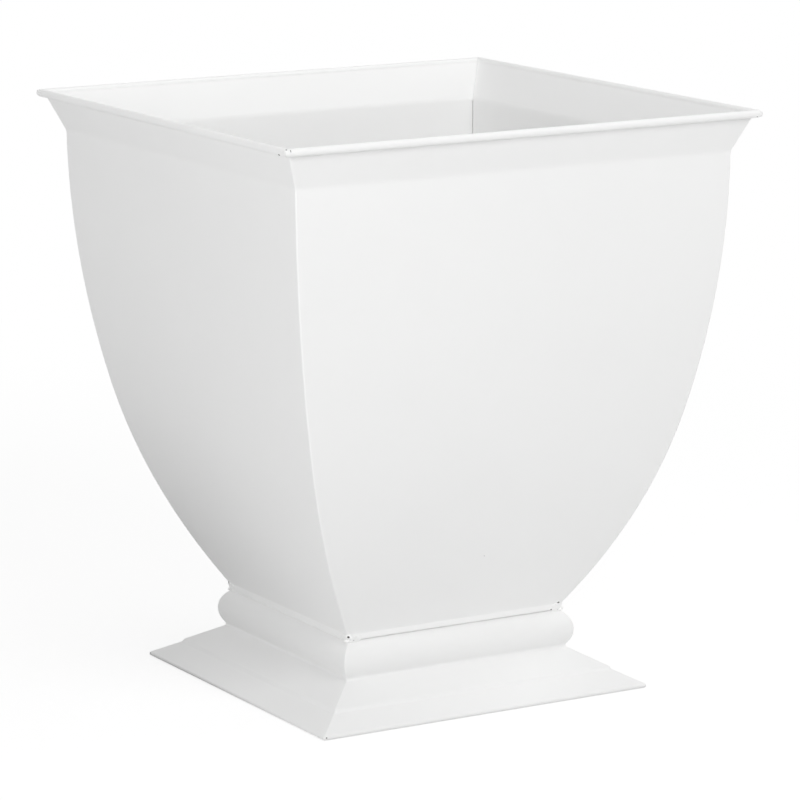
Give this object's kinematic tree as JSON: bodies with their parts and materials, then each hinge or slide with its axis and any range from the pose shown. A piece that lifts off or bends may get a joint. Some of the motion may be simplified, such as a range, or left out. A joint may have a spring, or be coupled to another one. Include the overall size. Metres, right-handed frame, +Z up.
{
  "type": "square urn planter",
  "caption": "Free-standing square urn planter of formed white sheet steel: curved bowl with flared rolled rim, on a moulded square plinth, with a drain and lift-out plug.",
  "frame": {"origin": "on the floor under the middle of the foot", "axes": "+Z up, front face towards -Y, +X to the right seen from the front"},
  "size_m": [0.457, 0.457, 0.508],
  "materials": {
    "white_coat": "satin white powder coat",
    "rim_wire": "drawn steel wire",
    "plug_rubber": "matt moulded rubber"
  },
  "bodies": {
    "planter": {"bowl_panel_front": "white_coat", "bowl_panel_right": "white_coat", "bowl_panel_back": "white_coat", "bowl_panel_left": "white_coat", "rim_wire_front": "rim_wire", "rim_wire_right": "rim_wire", "rim_wire_back": "rim_wire", "rim_wire_left": "rim_wire", "plinth_panel_front": "white_coat", "plinth_panel_right": "white_coat", "plinth_panel_back": "white_coat", "plinth_panel_left": "white_coat", "bowl_floor": "white_coat"},
    "plug": {"drain_plug": "plug_rubber"}
  },
  "joints": [
    {"name": "plug_pull", "type": "slide", "parent": "planter", "child": "plug", "axis": [0, 0, 1], "range_m": [0, 0.04]}
  ]
}
